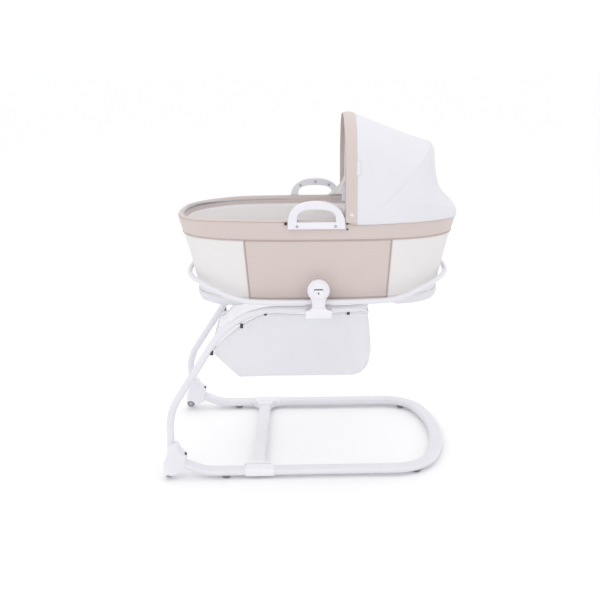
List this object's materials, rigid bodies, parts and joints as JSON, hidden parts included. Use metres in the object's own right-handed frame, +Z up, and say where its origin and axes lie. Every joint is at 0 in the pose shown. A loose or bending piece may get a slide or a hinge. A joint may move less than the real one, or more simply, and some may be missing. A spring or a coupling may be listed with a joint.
{
  "type": "bassinet on stand",
  "caption": "Free-standing bassinet with folding hood and carry handles on a tubular C-frame stand with storage basket, rocking hubs and transport wheels.",
  "frame": {"origin": "on the floor under the middle of the object's bounding box", "axes": "+Z up, +X towards the head end with the hood, -Y the near long side"},
  "size_m": [0.8959, 0.5704, 1.0675],
  "materials": {
    "white_tube": "white powder-coated steel tube, satin",
    "white_plastic": "white moulded polypropylene, fine satin grain",
    "dark_plastic": "dark grey moulded stud",
    "wheel_plastic": "grey moulded wheel",
    "foot_rubber": "dark grey rubber",
    "steel": "zinc-plated steel",
    "hood_wire": "white coated spring wire",
    "beige_fabric": "woven cotton with a fine pale dot pattern",
    "white_mesh": "white semi-sheer mesh",
    "white_fabric": "white plain-woven polyester",
    "mattress_fabric": "white cotton cover with piping",
    "base_board_wood": "plain fibreboard",
    "tag_fabric": "blank woven tag"
  },
  "bodies": {
    "stand": {"base_front_loop": "white_tube", "base_rear_rail_near": "white_tube", "base_rear_rail_far": "white_tube", "base_tee_near": "white_plastic", "base_tee_far": "white_plastic", "base_crossbar": "white_tube", "base_foot_pads": "foot_rubber", "foot_bracket_near": "white_plastic", "foot_bracket_far": "white_plastic", "wheel_axles": "steel", "upright_tube_near": "white_tube", "upright_tube_far": "white_tube", "stand_top_tube": "white_tube", "hub_housing_near": "white_plastic", "hub_housing_far": "white_plastic", "hub_cover_near": "white_plastic", "hub_cover_far": "white_plastic", "rocking_pins": "steel", "hub_foot_screws": "steel", "storage_basket": "white_mesh", "basket_snap_studs": "dark_plastic"},
    "wheel_near": {"transport_wheel_near": "wheel_plastic"},
    "wheel_far": {"transport_wheel_far": "wheel_plastic"},
    "snap_button_near": {"base_snap_button_near": "dark_plastic"},
    "snap_button_far": {"base_snap_button_far": "dark_plastic"},
    "lock_slider_near": {"rocking_lock_slider_near": "white_plastic"},
    "lock_slider_far": {"rocking_lock_slider_far": "white_plastic"},
    "cradle": {"cradle_rail": "white_tube", "cradle_ear_near": "white_tube", "cradle_ear_far": "white_tube"},
    "bassinet": {"base_board": "base_board_wood", "mattress": "mattress_fabric", "inner_liner": "white_fabric", "side_panel_near": "beige_fabric", "side_panel_far": "beige_fabric", "end_panel_foot": "white_mesh", "end_panel_head": "white_mesh", "bottom_tray": "white_fabric", "side_stays": "white_plastic", "rim_frame_tube": "steel", "rim_band": "beige_fabric", "handle_outer_near": "white_plastic", "handle_outer_far": "white_plastic", "handle_inner_near": "white_plastic", "handle_inner_far": "white_plastic", "handle_screws": "steel", "rim_studs": "dark_plastic", "bassinet_hook_near": "white_plastic", "bassinet_hook_far": "white_plastic", "hood_pivot_near": "white_plastic", "hood_pivot_far": "white_plastic"},
    "hood_rear": {"hood_mid_bow": "hood_wire", "hood_canopy_rear": "white_fabric"},
    "hood_front": {"hood_front_bow": "hood_wire", "hood_canopy_front": "white_fabric", "hood_hem_band": "beige_fabric", "hood_tag": "tag_fabric"}
  },
  "joints": [
    {"name": "cradle_rock", "type": "hinge", "parent": "stand", "child": "cradle", "pos_m": [0.0241, 0, 0.58], "axis": [0, 1, 0], "range_deg": [-3, 3]},
    {"name": "bassinet_lift_off", "type": "slide", "parent": "cradle", "child": "bassinet", "axis": [0, 0, 1], "range_m": [0, 0.12]},
    {"name": "hood_rear_fold", "type": "hinge", "parent": "bassinet", "child": "hood_rear", "pos_m": [0.1201, 0, 0.797], "axis": [0, 1, 0], "range_deg": [0, 30], "deforming": ["hood_canopy_rear"]},
    {"name": "hood_front_fold", "type": "hinge", "parent": "hood_rear", "child": "hood_front", "pos_m": [0.1201, 0, 0.797], "axis": [0, 1, 0], "range_deg": [0, 39], "deforming": ["hood_canopy_front"]},
    {"name": "lock_slide_near", "type": "slide", "parent": "stand", "child": "lock_slider_near", "axis": [0, 0, 1], "range_m": [0, 0.0035]},
    {"name": "lock_slide_far", "type": "slide", "parent": "stand", "child": "lock_slider_far", "axis": [0, 0, 1], "range_m": [0, 0.0035]},
    {"name": "snap_press_near", "type": "slide", "parent": "stand", "child": "snap_button_near", "axis": [-0.3813, 0, -0.9244], "range_m": [0, 0.0045], "stiffness_N_per_m": 600, "springref_m": -0.002},
    {"name": "snap_press_far", "type": "slide", "parent": "stand", "child": "snap_button_far", "axis": [-0.3813, 0, -0.9244], "range_m": [0, 0.0045], "stiffness_N_per_m": 600, "springref_m": -0.002},
    {"name": "wheel_spin_near", "type": "hinge", "parent": "stand", "child": "wheel_near", "pos_m": [-0.4329, -0.265, 0.019], "axis": [0, 1, 0], "continuous": true},
    {"name": "wheel_spin_far", "type": "hinge", "parent": "stand", "child": "wheel_far", "pos_m": [-0.4329, 0.265, 0.019], "axis": [0, 1, 0], "continuous": true}
  ],
  "couplings": [
    {"joint": "hood_front_fold", "follows": "hood_rear_fold", "ratio": 1.3}
  ]
}
